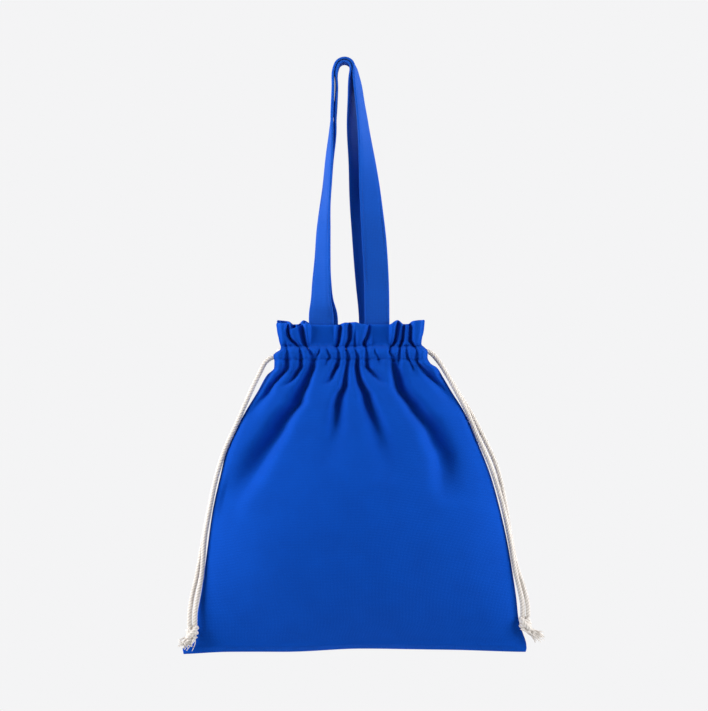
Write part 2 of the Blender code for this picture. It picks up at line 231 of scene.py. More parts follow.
RIGHT_CORD = (
    (184, -4, -579.9), (183.8, -4, -567.5), (181, -3.7, -552), (177, -3.3, -535), (171, -3, -500),
    (162.4, -3, -460), (151.4, -3, -424), (136.6, -3, -390), (124, -3.3, -361.2), (115.5, -3.8, -345.5),
    (103, -5.4, -323.4), (94, -8, -309.5), (87, -9.8, -302.6), (79, -10.5, -300.7), (66, -10.5, -300.7),
    (-54, -10.5, -300.7), (-61, -10.5, -300.7), (-66.2, -9.1, -300.7), (-70.1, -5.2, -300.7),
    (-71.5, 0, -300.7), (-70.1, 5.2, -300.7), (-66.2, 9.1, -300.7), (-61, 10.5, -300.7),
    (-54, 10.5, -300.7), (66, 10.5, -300.7), (79, 10.5, -300.7), (87, 9.2, -302.6),
    (94, 6.6, -309.5), (103.6, 3.6, -323.4), (117, 2.4, -345.5), (127, 2.4, -361.2), (142.4, 2.4, -390),
    (157.6, 2.4, -424), (166, 2.4, -460), (172.4, 2.4, -500), (179, 2, -530), (185.6, -1, -550),
    (189.5, -3.8, -567.5), (189.8, -4, -579.9),
)
FINE_POINTS = 4000
SOFTEN = 14

# What the camera faces, across the bag, in metres
VIEW_ACROSS = 0.00735

# Knots, in mm: middle of the knot's top, and where its loose ends reach
LEFT_KNOT = (-161.8, -9.2, -589.0)
LEFT_TAIL = (-169.0, -12.0, -608.0)
RIGHT_KNOT = (186.9, -4.0, -580.3)
RIGHT_TAIL = (200.0, -4.0, -600.0)


# ---------------------------------------------------------------- sizes and colours

def linear_colour(code):
    """An sRGB hex colour as three linear numbers."""
    parts = np.array([int(code[i : i + 2], 16) for i in (0, 2, 4)]) / 255.0
    return tuple(np.where(parts <= 0.04045, parts / 12.92, ((parts + 0.055) / 1.055) ** 2.4).tolist())


def colour_property(label, description, code):
    return bpy.props.FloatVectorProperty(
        name=label, description=description, subtype="COLOR", size=3, min=0.0, max=1.0,
        default=linear_colour(code),
    )


def length_property(label, description, metres):
    return bpy.props.FloatProperty(
        name=label, description=description, unit="LENGTH", min=0.0, precision=5, default=metres,
    )


class PouchCanvas(bpy.types.PropertyGroup):
    """Sizes and colours of the bag's cloth and of its handles."""

    colour: colour_property("Canvas", "Dyed cotton canvas of the bag", "0050C4")
    shade: colour_property("Canvas shade", "The same canvas between its threads", "003DA0")
    strap: colour_property("Handle", "Dyed cotton canvas of the handles", "0852C0")
    strap_shade: colour_property("Handle shade", "The handles' canvas between its threads", "06409C")
    stitch: colour_property("Thread", "Sewing thread in the colour of the canvas", "0048B0")
    cloth: length_property("Cloth", "Thickness of the bag's cloth", 0.0012)
    thread: length_property("Thread spacing", "Distance between two threads as drawn", 0.0016)


class PouchCord(bpy.types.PropertyGroup):
    """Sizes and colours of the drawstrings."""

    diameter: length_property("Diameter", "Diameter of the cotton cord", 0.005)
    lay: length_property("Lay", "Length in which a strand goes once round", 0.0095)
    colour: colour_property("Cotton", "Undyed cotton yarn", "E6E0DA")
    # Painted shade: this darker colour is painted down between the strands.
    shade: colour_property("Cotton shade", "Cotton deep between the strands", "A89C90")


class PouchStage(bpy.types.PropertyGroup):
    """The camera, the lights and the floor."""

    distance: length_property("Distance", "From the camera to the pouch", 2.2)
    view_height: length_property("View height", "Height of what the camera frames at the pouch", 0.7466)
    floor_drop: length_property("Floor drop", "From the bottom of the pouch to the floor", 1.0)
    backdrop: colour_property("Backdrop", "Plain pale surround", "F4F4F5")
    side_light: bpy.props.FloatProperty(
        name="Side light", description="Power of each soft light at the front", unit="POWER", default=62.0,
    )
    back_light: bpy.props.FloatProperty(
        name="Back light", description="Power of each soft light at the back", unit="POWER", default=26.0,
    )
    fill: bpy.props.FloatProperty(
        name="Fill", description="Strength of the light from all round", min=0.0, default=0.14,
    )


# ---------------------------------------------------------------- curves and meshes

def level_slopes(places, values):
    """Slopes at the stations that never carry the curve past them: level at each peak and dip."""
    secants = np.diff(values) / np.diff(places)
    before, after = secants[:-1], secants[1:]
    same_way = before * after > 0
    total = np.where(same_way, before + after, 1.0)
    inner = np.where(same_way, 2 * before * after / total, 0.0)
    return np.concatenate([secants[:1], inner, secants[-1:]])


def free_slopes(places, values):
    return np.gradient(values, places)


def between(stations, at, slopes_of=level_slopes):
    """A smooth cubic curve through (place, value) stations, read at the places given."""
    places, values = np.array(stations, float).T
    slopes = slopes_of(places, values)
    steps = np.diff(places)
    index = np.clip(np.searchsorted(places, at) - 1, 0, len(steps) - 1)
    t = np.clip((at - places[index]) / steps[index], 0.0, 1.0)
    start, end = values[index], values[index + 1]
    rise, fall = slopes[index] * steps[index], slopes[index + 1] * steps[index]
    cube = (2 * t**3 - 3 * t**2 + 1) * start + (t**3 - 2 * t**2 + t) * rise
    return cube + (3 * t**2 - 2 * t**3) * end + (t**3 - t**2) * fall


def ramp(value, start, end):
    """0 before start and 1 after end, with a smooth rise between them."""
    t = np.clip((value - start) / (end - start), 0.0, 1.0)
    return t * t * (3.0 - 2.0 * t)


def softened(curve, reach):
    """Each point moved to the mean of its neighbours within reach points, with the ends kept."""
    before = 2 * curve[0] - curve[reach:0:-1]
    after = 2 * curve[-1] - curve[-2 : -reach - 2 : -1]
    longer = np.concatenate([before, curve, after])
    weights = np.full(2 * reach + 1, 1 / (2 * reach + 1))
    return np.stack([np.convolve(column, weights, "valid") for column in longer.T], axis=1)


def evenly_spaced(curve, step):
    """The curve read again at points about a step apart."""
    lengths = np.linalg.norm(np.diff(curve[:, :3], axis=0), axis=1)
    run = np.concatenate([[0.0], np.cumsum(lengths)])
    even = np.linspace(0.0, run[-1], max(2, round(run[-1] / step) + 1))
    return np.stack([np.interp(even, run, column) for column in curve.T], axis=1)


def smooth_route(route, step):
    """Points about a step apart on one smooth curve through the route's own points."""
    route = np.array(route, float)
    chords = np.linalg.norm(np.diff(route[:, :3], axis=0), axis=1)
    along = np.concatenate([[0.0], np.cumsum(chords)])
    fine = np.linspace(0.0, along[-1], FINE_POINTS)
    columns = [between(list(zip(along, column)), fine, free_slopes) for column in route.T]
    curve = softened(softened(np.stack(columns, axis=1), SOFTEN), SOFTEN)
    return evenly_spaced(curve, step)


def unit(vectors):
    return vectors / np.linalg.norm(vectors, axis=-1, keepdims=True)


def grid_faces(rows, columns, wrap=False):
    """Quads over a grid of points; with wrap the last column joins the first."""
    row = np.arange(rows - 1)[:, None] * columns
    column = np.arange(columns if wrap else columns - 1)[None, :]
    near, far = row + column, row + (column + 1) % columns
    return np.stack([near, far, far + columns, near + columns], axis=2).reshape(-1, 4)


def mesh_piece(name, points, faces, material, uv=None, **values):
    """A smooth mesh object from points in mm, with a UV per point in mm and, for each value, a number
    per point."""
    mesh = bpy.data.meshes.new(name)
    mesh.from_pydata((points.reshape(-1, 3) * MM).tolist(), [], faces)
    corners = np.empty(len(mesh.loops), np.int32)
    mesh.loops.foreach_get("vertex_index", corners)
    if uv is not None:
        layer = mesh.uv_layers.new(name="Cloth")
        layer.uv.foreach_set("vector", (uv.reshape(-1, 2)[corners] * MM).astype(np.float32).ravel())
    for key, numbers in values.items():
        attribute = mesh.attributes.new(key, "FLOAT", "POINT")
        attribute.data.foreach_set("value", np.asarray(numbers, np.float32).ravel())
    mesh.shade_smooth()
    mesh.materials.append(material)
    piece = bpy.data.objects.new(name, mesh)
    bpy.context.scene.collection.objects.link(piece)
    return piece


# ---------------------------------------------------------------- materials

def add_node(tree, kind, inputs=None, **settings):
    """Adds a node: an input given as a socket is linked to it, and any other input is set."""
    node = tree.nodes.new(kind)
    for key, value in settings.items():
        setattr(node, key, value)
    for key, value in (inputs or {}).items():
        if isinstance(value, bpy.types.NodeSocket):
            tree.links.new(value, node.inputs[key])
        else:
            node.inputs[key].default_value = value
    return node


def empty_material(name):
    material = bpy.data.materials.new(name)
    material.use_nodes = True
    material.node_tree.nodes.clear()
    return material, material.node_tree


def mixed(tree, factor, first, second):
    """A colour between two, each a linear colour or a socket."""
    given = [value if isinstance(value, bpy.types.NodeSocket) else (*value, 1.0) for value in (first, second)]
    inputs = {0: factor, 6: given[0], 7: given[1]}
    return add_node(tree, "ShaderNodeMix", inputs, data_type="RGBA").outputs[2]


def worked(tree, operation, first, second=0.0):
    """One step of arithmetic on sockets or numbers."""
    return add_node(tree, "ShaderNodeMath", {0: first, 1: second}, operation=operation).outputs[0]


def noise(tree, vector, size, detail=2.0, roughness=0.5):
    """Noise whose blobs are about a size, in metres, across."""
    inputs = {"Vector": vector, "Scale": 1.0 / size, "Detail": detail, "Roughness": roughness}
    return add_node(tree, "ShaderNodeTexNoise", inputs).outputs["Fac"]


def threads(tree, vector, direction, spacing):
    """Parallel threads a spacing apart, each a rounded band; a wave node's own period is a tenth of pi."""
    inputs = {
        "Vector": vector, "Scale": math.pi / (10.0 * spacing), "Distortion": 1.6, "Detail": 2.0,
        "Detail Scale": 0.6,
    }
    return add_node(tree, "ShaderNodeTexWave", inputs, bands_direction=direction).outputs["Fac"]


def canvas_material(name, colour, shade, spacing, sheen):
    """Plain-woven dyed cotton canvas: matt, with a fine over-and-under grain, a little slub and
    a soft lighter bloom at a glance. Threads are about 0.5 mm apart on the real cloth; they are
    drawn coarser so that the grain shows."""
    material, tree = empty_material(name)
    uv = add_node(tree, "ShaderNodeUVMap", uv_map="Cloth").outputs["UV"]
    warp = threads(tree, uv, "X", spacing)
    weft = threads(tree, uv, "Y", spacing)
    weave = worked(tree, "MULTIPLY", warp, weft)
    grain = noise(tree, uv, 0.0011, 3.0, 0.7)
    mottle = noise(tree, uv, 0.03, 2.0)
    tone = worked(tree, "ADD", worked(tree, "MULTIPLY", grain, 0.9), worked(tree, "MULTIPLY", mottle, 0.3))
    tone = worked(tree, "ADD", tone, worked(tree, "MULTIPLY", weave, 0.35))
    spread = add_node(tree, "ShaderNodeMapRange", {"Value": tone, "From Min": 0.35, "From Max": 1.05})
    cloth = mixed(tree, spread.outputs[0], shade, colour)
    # Painted highlight: along the edges marked by the point attribute, the colour is mixed towards a lighter
    # blue, broken up by the grain.
    edge_lit = add_node(tree, "ShaderNodeAttribute", attribute_name="wear").outputs["Fac"]
    edge_lit = worked(tree, "MULTIPLY", edge_lit, worked(tree, "MULTIPLY", grain, 0.55))
    cloth = mixed(tree, edge_lit, cloth, linear_colour("1060D8"))
    height = worked(tree, "ADD", worked(tree, "MULTIPLY", weave, 0.6), worked(tree, "MULTIPLY", grain, 0.7))
    relief = add_node(tree, "ShaderNodeBump", {"Height": height, "Strength": 0.5, "Distance": 0.0004})
    shader = add_node(tree, "ShaderNodeBsdfPrincipled", {
        "Base Color": cloth, "Roughness": 0.92, "Specular IOR Level": 0.08, "Sheen Weight": sheen,
        "Sheen Roughness": 0.6, "Sheen Tint": (0.25, 0.45, 1.0, 1.0), "Normal": relief.outputs[0],
    })
    add_node(tree, "ShaderNodeOutputMaterial", {"Surface": shader.outputs[0]})
    return material


def thread_material(name, colour):
    """Spun polyester sewing thread: a tight twisted thread, a little glossier than the cloth under it."""
    material, tree = empty_material(name)
    place = add_node(tree, "ShaderNodeTexCoord").outputs["Object"]
    twist = noise(tree, place, 0.0006, 1.0)
    dark = tuple(0.7 * part for part in colour)
    shader = add_node(tree, "ShaderNodeBsdfPrincipled", {
        "Base Color": mixed(tree, twist, dark, colour), "Roughness": 0.6, "Specular IOR Level": 0.25,
    })
    add_node(tree, "ShaderNodeOutputMaterial", {"Surface": shader.outputs[0]})
    return material


def cotton_material(name, colour, shade):
    """Undyed twisted cotton yarn: off-white and fully matt, with painted shade down between the strands
    and soft loose fibre."""
    material, tree = empty_material(name)
    place = add_node(tree, "ShaderNodeTexCoord").outputs["Object"]
    # Painted shade: the groove attribute darkens the colour down between the strands.
    groove = add_node(tree, "ShaderNodeAttribute", attribute_name="groove").outputs["Fac"]
    fibre = noise(tree, place, 0.0012, 3.0, 0.7)
    soil = noise(tree, place, 0.02, 2.0)
    deep = worked(tree, "ADD", groove, worked(tree, "MULTIPLY", worked(tree, "SUBTRACT", fibre, 0.5), 0.7))
    deep = worked(tree, "ADD", deep, worked(tree, "MULTIPLY", worked(tree, "SUBTRACT", soil, 0.5), 0.3))
    spread = add_node(tree, "ShaderNodeMapRange", {"Value": deep, "From Min": 0.1, "From Max": 1.1})
    yarn = mixed(tree, spread.outputs[0], colour, shade)
    relief = add_node(tree, "ShaderNodeBump", {"Height": fibre, "Strength": 0.6, "Distance": 0.0005})
    shader = add_node(tree, "ShaderNodeBsdfPrincipled", {
        "Base Color": yarn, "Roughness": 0.95, "Specular IOR Level": 0.15, "Sheen Weight": 0.15,
        "Sheen Roughness": 0.7, "Normal": relief.outputs[0],
    })
    add_node(tree, "ShaderNodeOutputMaterial", {"Surface": shader.outputs[0]})
    return material


# ---------------------------------------------------------------- bag

def middle_of_bag(z):
    return (between(LEFT_EDGE, z) + between(RIGHT_EDGE, z)) / 2


def crease_depths(x, z):
    """How far the creases press the cloth in. Each crease is a bell across its own line, wider on one
    side by its lean, and the creases are joined by a power mean, which keeps the deepest."""
    total = np.zeros_like(x)
    for lean, stations in CREASES:
        heights, places, depths, reaches = np.array(stations, float).T
        place = between(np.stack([heights, places], axis=1), z)
        depth = between(np.stack([heights, depths], axis=1), z)
        reach = between(np.stack([heights, reaches], axis=1), z)
        away = (x - place) / reach
        away = np.where(away < 0, away / lean, away * lean)
        total += (depth * np.exp(-(away**2))) ** CREASE_JOIN
    return total ** (1.0 / CREASE_JOIN)


def puckers(x, z):
    """Fine gathers held by the two rows of stitching, and the groove that each row pulls in."""
    phase = x / 1.15 + 1.7 * np.sin(x / 9.0) + 0.9 * np.sin(x / 4.1 + 1.0)
    near = np.exp(-(((z - UPPER_STITCH_Z) / 5.0) ** 2)) + np.exp(-(((z - LOWER_STITCH_Z) / 6.0) ** 2))
    groove = np.exp(-(((z - UPPER_STITCH_Z) / 1.6) ** 2)) + np.exp(-(((z - LOWER_STITCH_Z) / 1.6) ** 2))
    return 0.55 * near * np.sin(phase) - 1.5 * groove


def hang(x, z):
    """The slight unevenness of cloth that hangs: a few long waves of about half a millimetre."""
    body = ramp(-z, 315, 360)
    waves = 0.7 * np.sin(x / 17 + z / 41) + 0.5 * np.sin(x / 29 - z / 23 + 1.3)
    return (waves + 0.4 * np.sin(z / 15 + x / 60)) * body


def flat_zone(x, z):
    """1 where the header lies flat on a strap's end, 0 elsewhere."""
    zone = np.zeros_like(x)
    for start, end in FLAT_ZONES:
        zone = np.maximum(zone, ramp(x, start - 2.5, start + 2.5) * (1 - ramp(x, end - 2.5, end + 2.5)))
    return zone * ramp(z, UPPER_STITCH_Z - 1, UPPER_STITCH_Z + 3)


def outer_depth(side, x, z):
    """Distance of the outer cloth in front of the middle: a crown across the bag, puffed out between the
    creases and pressed in along them, with the header flat on the straps."""
    edge = between(EDGE_DEPTHS, z)
    crown = (1.0 - np.abs(side) ** 2.2) ** 0.8
    depth = edge + (between(HALF_DEPTHS, z) - edge) * crown
    fade = 1.0 - ramp(np.abs(side), 0.93, 1.0)
    shape = between(LIFTS, z) - crease_depths(x, z) + puckers(x, z) + hang(x, z)
    depth = depth + shape * fade
    return depth + (FLAT_DEPTH - depth) * flat_zone(x, z)


def panel_surface(columns=232):
    """One panel's cloth as a grid of points: rows run from the bottom seam up the outside, over the top
    fold and down the inside to the lower stitch; columns run across. Also gives the cloth's own
    coordinates, a painted highlight along the top fold, the bottom seam and the side edges, and the numbers
    of the rows at the two rows of stitching."""
    side = np.linspace(-1.0, 1.0, columns)
    side = side + 0.012 * np.sin(math.pi * side)
    heights = np.concatenate([
        np.linspace(BOTTOM_Z, -598, 13), np.linspace(-595.5, -362, 82), np.linspace(-360, -318, 27),
        np.linspace(-316.6, TOP_Z, 40),
    ])
    z = heights[:, None] + 0.0 * side[None, :]
    across = side[None, :] + 0.0 * z
    x = middle_of_bag(z) + (between(RIGHT_EDGE, z) - between(LEFT_EDGE, z)) / 2 * across
    depth = outer_depth(across, x, z)
    seam = 1.2 * np.exp(-(((z - BOTTOM_Z - 6.5) / 2.2) ** 2)) * (1 - ramp(np.abs(across), 0.94, 0.99))
    outer = np.stack([x, -(depth + seam), z], axis=2)

    fold_z = np.linspace(TOP_Z, -313.5, 25)
    z = fold_z[:, None] + 0.0 * side[None, :]
    across = side[None, :] + 0.0 * z
    x = middle_of_bag(z) + between(INNER_HALF_WIDTHS, z) * across
    behind = outer_depth(across, x, z) - HEADER_GAP
    casing = between(INNER_DEPTHS, z) + 0.5 * np.sin(x / 2.4)
    depth = behind + (casing - behind) * (1 - ramp(z, -297.5, -292))
    inner = np.stack([x, -depth, z], axis=2)

    middle, reach = (outer[-1] + inner[0]) / 2, (outer[-1] - inner[0]) / 2
    turns = np.radians([36, 72, 108, 144])[:, None, None]
    lift = np.array([0.0, 0.0, 1.3])
    fold = middle + reach * np.cos(turns) + lift * np.sin(turns)
    cloth = np.concatenate([outer, fold, inner])

    top = ramp(cloth[:, :, 2], UPPER_STITCH_Z + 2, TOP_Z)
    cloth[:, :, 2] += between(TOP_EDGE, cloth[:, :, 0]) * top
    run = np.linalg.norm(np.diff(cloth, axis=0), axis=2)
    run = np.concatenate([np.zeros((1, columns)), np.cumsum(run, axis=0)])
    across = side[None, :] + 0.0 * run
    uv = np.stack([FLAT_HALF_WIDTH * across, run], axis=2)
    # Painted highlight along the top fold, the bottom seam and the side edges, where the light catches them.
    wear = np.exp(-(((np.arange(len(cloth)) - len(outer) - 1.5) / 2.0) ** 2))[:, None] + 0.0 * run
    wear = wear + np.exp(-((cloth[:, :, 2] - BOTTOM_Z) / 3.0)) * 0.7 + ramp(np.abs(across), 0.985, 1.0) * 0.6
    stitched = [int(np.abs(heights - row).argmin()) for row in (LOWER_STITCH_Z, UPPER_STITCH_Z)]
    return cloth, uv, np.clip(wear, 0.0, 1.0), stitched


def settled(cloth):
    """The cloth with its bottom edge at the bottom seam's own height."""
    near = np.exp(-((cloth[:, :, 2] - BOTTOM_Z) / 25.0))
    cloth = cloth.copy()
    cloth[:, :, 2] += between(BOTTOM_EDGE, cloth[:, :, 0]) * near
    return cloth


def turned_round(cloth):
    """The same cloth as the back of the bag: turned half round about the bag's middle."""
    cloth = cloth * np.array([1.0, -1.0, 1.0])
    cloth[:, :, 0] = 2 * middle_of_bag(np.clip(cloth[:, :, 2], BOTTOM_Z, TOP_Z)) - cloth[:, :, 0]
    return cloth


# ---------------------------------------------------------------- stitches

def stitch_shape(length, width, height):
    """One stitch lying along the first axis: three rings of six points and a point at each end."""
    turn = np.radians(np.arange(6) * 60.0)
    rings = []
    for place, size in ((-0.36, 0.8), (0.0, 1.0), (0.36, 0.8)):
        ring = [np.full(6, place * length), size * width / 2 * np.cos(turn), size * height / 2 * np.sin(turn)]
        rings.append(np.stack(ring, axis=1))
    ends = np.array([[-length / 2, 0, -height / 3], [length / 2, 0, -height / 3]])
    points = np.concatenate(rings + [ends])
    faces = [tuple(face) for face in grid_faces(3, 6, wrap=True)[:, ::-1].tolist()]
    last = [12, 13, 14, 15, 16, 17]
    faces += [(18, i, (i + 1) % 6) for i in range(6)]
    faces += [(19, last[(i + 1) % 6], last[i]) for i in range(6)]
    return points, faces


def stitch_row(line, outward, pitch, length=2.5, width=0.7, height=0.5):
    """Points and faces of stitches a pitch apart along a line that lies on cloth facing outward."""
    both = evenly_spaced(np.concatenate([line, outward], axis=1), pitch)
    middle = (both[:-1] + both[1:]) / 2
    along = unit(np.diff(both[:, :3], axis=0))
    up = unit(middle[:, 3:] - (middle[:, 3:] * along).sum(axis=1, keepdims=True) * along)
    wide = np.cross(up, along)
    shape, faces = stitch_shape(length, width, height)
    axes = np.stack([along, wide, up], axis=1)
    points = middle[:, None, :3] + np.einsum("pk,nkj->npj", shape, axes)
    return points.reshape(-1, 3), faces


def stitches_piece(name, rows, material):
    """All the stitches of several rows as one mesh."""
    points = np.concatenate([row for row, _ in rows])
    shape = rows[0][1]
    count = len(points) // 20
    faces = [tuple(20 * n + corner for corner in face) for n in range(count) for face in shape]
    return mesh_piece(name, points, faces, material)


def facing(cloth):
    """Unit vectors square to a grid of points, on its outer side."""
    return unit(np.cross(np.gradient(cloth, axis=1), np.gradient(cloth, axis=0)))


# ---------------------------------------------------------------- straps

def strap_frames(route):
    """Path, width direction and facing direction of a strap, each a point per 2 mm."""
    path = smooth_route(route, 2.0)
    tangent = unit(np.gradient(path[:, :3], axis=0))
    turn = np.radians(path[:, 3])
    wide = np.stack([np.cos(turn), np.sin(turn), 0.0 * turn], axis=1)
    wide = unit(wide - (wide * tangent).sum(axis=1, keepdims=True) * tangent)
    return path[:, :3], wide, np.cross(wide, tangent)


def strap_half_thickness(across):
    """Half the strap's thickness by place across from -1 to 1: full in the middle, pressed in along the
    two rows of top stitching and rounded over the folded edges."""
    rounded = np.sqrt(np.clip(1.0 - np.abs(across) ** 9, 0.0, 1.0))
    groove = 0.34 * np.exp(-(((np.abs(across) - STITCH_AT) / 0.06) ** 2))
    return STRAP_THICKNESS / 2 * rounded * (1.0 - groove)


def strap_surface(route):
    """A strap as a closed profile carried along its path: out across one face and back across the other."""
    path, wide, face = strap_frames(route)
    across = np.sin(np.linspace(-math.pi / 2, math.pi / 2, 23))
    thick = strap_half_thickness(across)
    profile_w = np.concatenate([across, across[-2:0:-1]]) * STRAP_WIDTH / 2
    profile_t = np.concatenate([thick, -thick[-2:0:-1]])
    run = np.arange(len(path))[:, None] * 2.0
    ripple = 0.25 * np.sin(run / 13.0 + profile_w[None, :] / 9.0) + 0.2 * np.sin(run / 29.0)
    free = ramp(path[:, 2], TOP_Z, -240)[:, None] * (1 - ramp(path[:, 2], -60, -30))[:, None]
    height = profile_t[None, :] + ripple * free
    points = path[:, None] + profile_w[None, :, None] * wide[:, None] + height[:, :, None] * face[:, None]
    uv = np.stack([profile_w[None, :] + 0.0 * run, run + 0.0 * profile_w[None, :]], axis=2)
    # Painted highlight: a lighter blue painted along the strap's two folded edges.
    wear = np.abs(profile_w / (STRAP_WIDTH / 2)) ** 14 + 0.0 * run
    return points, uv, wear


def strap_stitching(route):
    """The two rows of top stitching, on both faces of a strap."""
    path, wide, face = strap_frames(route)
    rows = []
    for edge in (-STITCH_AT, STITCH_AT):
        for out in (-1.0, 1.0):
            height = strap_half_thickness(np.array(edge))
            line = path + edge * STRAP_WIDTH / 2 * wide + out * height * face
            rows.append(stitch_row(line, out * face, 3.3))
    return rows


# ---------------------------------------------------------------- cords

def carried_frames(path):
    """Two directions square to a path, carried along it without twist: each step turns the last
    direction only as much as the path bends."""
    tangent = unit(np.gradient(path, axis=0))
    start = np.cross(tangent[0], (0.3, 1.0, 0.2))
    directions = [start / np.linalg.norm(start)]
    for step in tangent[1:]:
        last = directions[-1] - directions[-1].dot(step) * step
        directions.append(last / math.sqrt(last.dot(last)))
    first = np.array(directions)
    return first, np.cross(tangent, first)


def rope_surface(path, radius, lay, sides=24):
    """Three strands laid into a rope: the radius falls between the strands by the shape of a rectified
    cosine of three lobes, and the lobes turn once round in each length of lay."""
    first, second = carried_frames(path)
    steps = np.linalg.norm(np.diff(path, axis=0), axis=1)
    run = np.concatenate([[0.0], np.cumsum(steps)])
    angle = np.linspace(0.0, 2 * math.pi, sides, endpoint=False)[None, :] + 0.0 * run[:, None]
    lobe = np.abs(np.cos(1.5 * (angle - 2 * math.pi * run[:, None] / lay)))
    out = radius * (0.84 + 0.16 * lobe**0.8)
    around = np.cos(angle)[:, :, None] * first[:, None] + np.sin(angle)[:, :, None] * second[:, None]
    # The second result marks painted shade: 1 down between the strands and 0 on their crowns.
    return path[:, None] + out[:, :, None] * around, (1.0 - lobe) ** 1.5


def rope_faces(rows, sides, start=0):
    """Quads along the rope and a cap at each end."""
    faces = (grid_faces(rows, sides, wrap=True) + start).tolist()
    faces.append([start + i for i in reversed(range(sides))])
    faces.append([start + (rows - 1) * sides + i for i in range(sides)])
    return faces


def drawstring(name, route, material, cord):
    path = smooth_route(route, 0.9)
    sides = 24
    points, groove = rope_surface(path, cord.diameter / MM / 2, cord.lay / MM, sides)
    piece = mesh_piece(name, points, rope_faces(len(path), sides), material, groove=groove)
    return piece, path


def knot_ropes(top, lean):
    """Paths of the wraps of an overhand knot: two turns round both strands and one strand tucked
    slanting down over the front. Lean is 1 or -1, the side that the tuck falls to."""
    top = np.array(top)
    t = np.linspace(0.0, 1.0, 70)[:, None]
    turn = 2 * math.pi * (1.75 * t + 0.1) * lean
    wrap = np.concatenate([4.4 * np.cos(turn), 3.6 * np.sin(turn), -3.0 - 7.6 * t], axis=1)
    bend = math.pi * (t - 0.5)
    tuck = np.concatenate([
        lean * 4.8 * np.sin(bend), -5.6 * np.cos(bend) ** 0.6 - 0.6, -7.0 + 5.4 * np.sin(bend),
    ], axis=1)
    lump = np.concatenate([
        -lean * (2.0 + 3.2 * np.sin(math.pi * t)), -3.2 + 6.4 * t, -10.6 + 1.6 * np.cos(2 * math.pi * t),
    ], axis=1)
    stems = [np.concatenate([side + 0.0 * t, 0.0 * t, 0.6 - 12.6 * t], axis=1) for side in (-2.2, 2.2)]
    return [top + path for path in (wrap, tuck, lump, *stems)]


def loose_yarns(top, tail, seed, count=90):
    """Paths of the yarns that fan out below a knot: straight runs to points spread about the tail's end,
    with a bow and a ripple that grow along them."""
    random = np.random.default_rng(seed)
    top, tail = np.array(top), np.array(tail)
    start = top + np.array([0.0, 0.0, -10.5]) + random.normal(0, 1, (count, 3)) * (2.2, 1.8, 1.0)
    spread = random.normal(0, 1, (count, 3)) * (4.2, 2.6, 2.6)
    end = tail + np.clip(spread, -7.0, 7.0)
    t = np.linspace(0.0, 1.0, 9)[None, :, None]
    bow = random.normal(0, 1, (count, 1, 3)) * 1.3
    ripple = random.normal(0, 1, (count, 1, 3)) * 0.45
    phase = random.uniform(0, 6.28, (count, 1, 1))
    line = start[:, None] * (1 - t) + end[:, None] * t
    return line + bow * t * (1 - t) * 3 + ripple * t * np.sin(9 * t + phase)


def knot_piece(name, top, tail, lean, seed, material, cord):
    radius, lay = cord.diameter / MM / 2, cord.lay / MM
    sides, points, faces, groove_shades = 18, [], [], []
    start = 0
    for path in knot_ropes(top, lean):
        rope, groove = rope_surface(evenly_spaced(path, 0.7), radius * 0.96, lay, sides)
        faces += rope_faces(len(rope), sides, start)
        start += rope.shape[0] * sides
        points.append(rope.reshape(-1, 3))
        groove_shades.append(groove.ravel())
    for path in loose_yarns(top, tail, seed):
        first, second = carried_frames(path)
        angle = np.radians(np.arange(5) * 72.0)[None, :, None]
        thin = (0.62 - 0.25 * np.linspace(0, 1, len(path)))[:, None, None]
        tube = path[:, None] + thin * (np.cos(angle) * first[:, None] + np.sin(angle) * second[:, None])
        faces += rope_faces(len(path), 5, start)
        start += len(path) * 5
        points.append(tube.reshape(-1, 3))
        # A little painted shade, even over the loose yarns.
        groove_shades.append(np.full(len(path) * 5, 0.12))
    return mesh_piece(name, np.concatenate(points), faces, material, groove=np.concatenate(groove_shades))


# ---------------------------------------------------------------- operators

